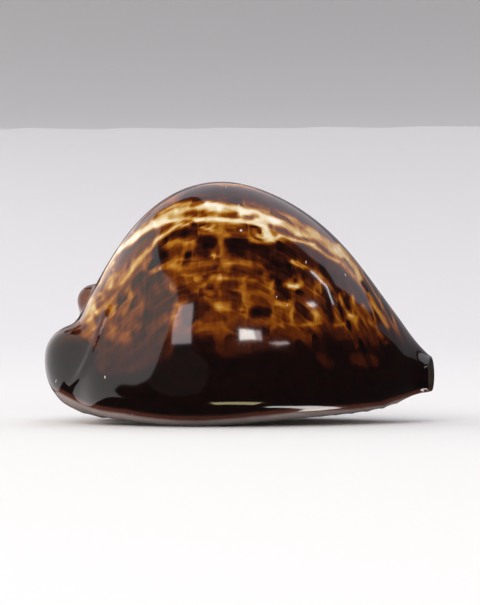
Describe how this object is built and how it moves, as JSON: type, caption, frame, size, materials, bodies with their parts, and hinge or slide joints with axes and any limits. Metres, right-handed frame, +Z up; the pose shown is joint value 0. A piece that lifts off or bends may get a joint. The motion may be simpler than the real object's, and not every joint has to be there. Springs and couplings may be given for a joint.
{
  "type": "cowrie shell",
  "caption": "Humpbacked cowrie shell with a flat base, a long toothed aperture between two rolled lips, an open front canal and a small spire at the back end.",
  "frame": {"origin": "centre of the bounding box at the resting plane", "axes": "+X towards the front end with the open canal, +Z up from the flat base to the hump, -Y towards the outer lip"},
  "size_m": [0.056, 0.0386, 0.0347],
  "materials": {
    "shell_glaze": "polished"
  },
  "bodies": {
    "root": {"shell": "shell_glaze"}
  },
  "joints": []
}
